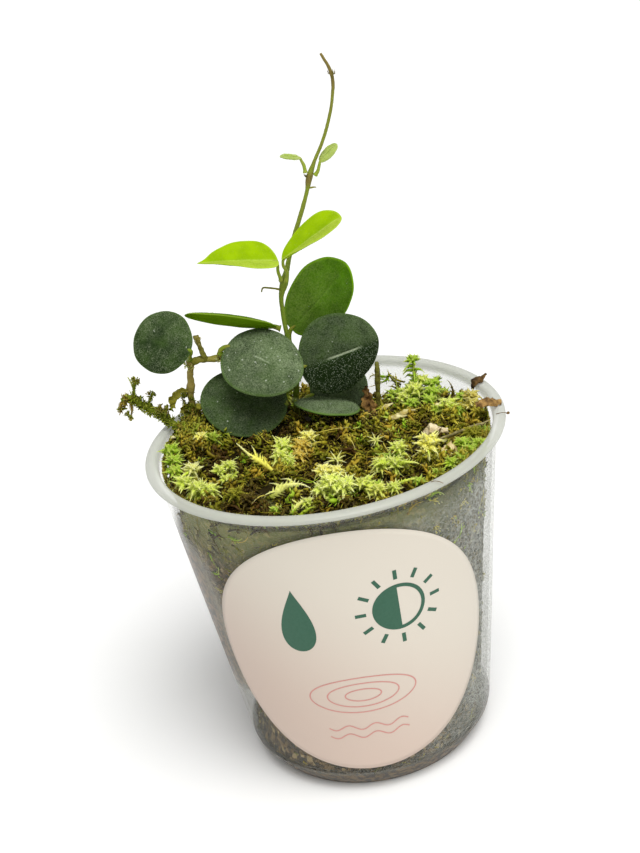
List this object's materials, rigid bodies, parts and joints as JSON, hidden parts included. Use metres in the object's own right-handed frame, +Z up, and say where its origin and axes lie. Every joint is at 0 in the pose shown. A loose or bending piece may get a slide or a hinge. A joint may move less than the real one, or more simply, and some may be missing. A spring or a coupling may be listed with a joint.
{
  "type": "potted hoya serpens",
  "caption": "Small trailing plant with round leathery leaves and one upright shoot, rooted in moss in a clear plastic pot with a round sticker.",
  "frame": {"origin": "centre of the pot foot, on the surface that it rests on", "axes": "+Z up along the axis of the pot, -Y to the front with the sticker, +X to the right seen from the front"},
  "size_m": [0.0876, 0.082, 0.1601],
  "materials": {
    "clear_plastic": "milky translucent",
    "sticker_paper": "coated matt",
    "potting_mix": "loose bark and peat",
    "brown_moss": "stringy",
    "green_moss": "feathery",
    "lime_moss": "feathery",
    "yellow_moss": "feathery",
    "dry_strand": "dry",
    "dry_leaf": "dry, crinkled",
    "bark": "rough",
    "green_stem": "smooth, green",
    "brown_stem": "rough, mossy",
    "lime_leaf": "soft satin",
    "bright_leaf": "satin",
    "dark_leaf": "satin with pale speckles"
  },
  "bodies": {
    "root": {"pot": "clear_plastic", "sticker": "sticker_paper", "leaf_far_left": "dark_leaf", "leaf_centre": "dark_leaf", "leaf_low_left": "dark_leaf", "leaf_right": "dark_leaf", "leaf_upright": "bright_leaf", "leaf_edge_on": "bright_leaf", "leaf_front": "dark_leaf", "leaf_behind": "dark_leaf", "young_leaf_left": "lime_leaf", "young_leaf_right": "lime_leaf", "tip_leaf_left": "lime_leaf", "tip_leaf_right": "lime_leaf", "young_shoot": "green_stem", "old_stem": "brown_stem", "mossy_strand": "brown_moss", "moss_left_rim": "green_moss", "moss_left_lime": "lime_moss", "moss_left_bright": "lime_moss", "moss_front_lime": "lime_moss", "moss_front_green": "green_moss", "moss_front_right": "green_moss", "moss_right_front": "green_moss", "moss_back_right": "green_moss", "moss_right_green": "green_moss", "moss_right_brown": "yellow_moss", "moss_centre_yellow": "yellow_moss", "moss_star_yellow": "yellow_moss", "moss_star_pale": "yellow_moss", "moss_star_small": "yellow_moss", "moss_back_left": "green_moss", "moss_back_centre": "lime_moss", "moss_back_mid": "lime_moss", "moss_back_low": "green_moss", "moss_stem_foot": "yellow_moss", "moss_front_left": "green_moss", "moss_front_corner": "green_moss", "pale_strand_long": "dry_strand", "pale_strand_rim": "dry_strand", "curled_strand": "dry_strand", "yellow_spike": "dry_strand", "beige_lump": "dry_leaf", "tan_leaf": "dry_leaf", "dry_leaf": "dry_leaf", "bark_flake_rim": "bark", "bark_flake_back": "bark", "stub_stick": "bark", "moss_carpet": "brown_moss", "potting_mix": "potting_mix"}
  },
  "joints": []
}
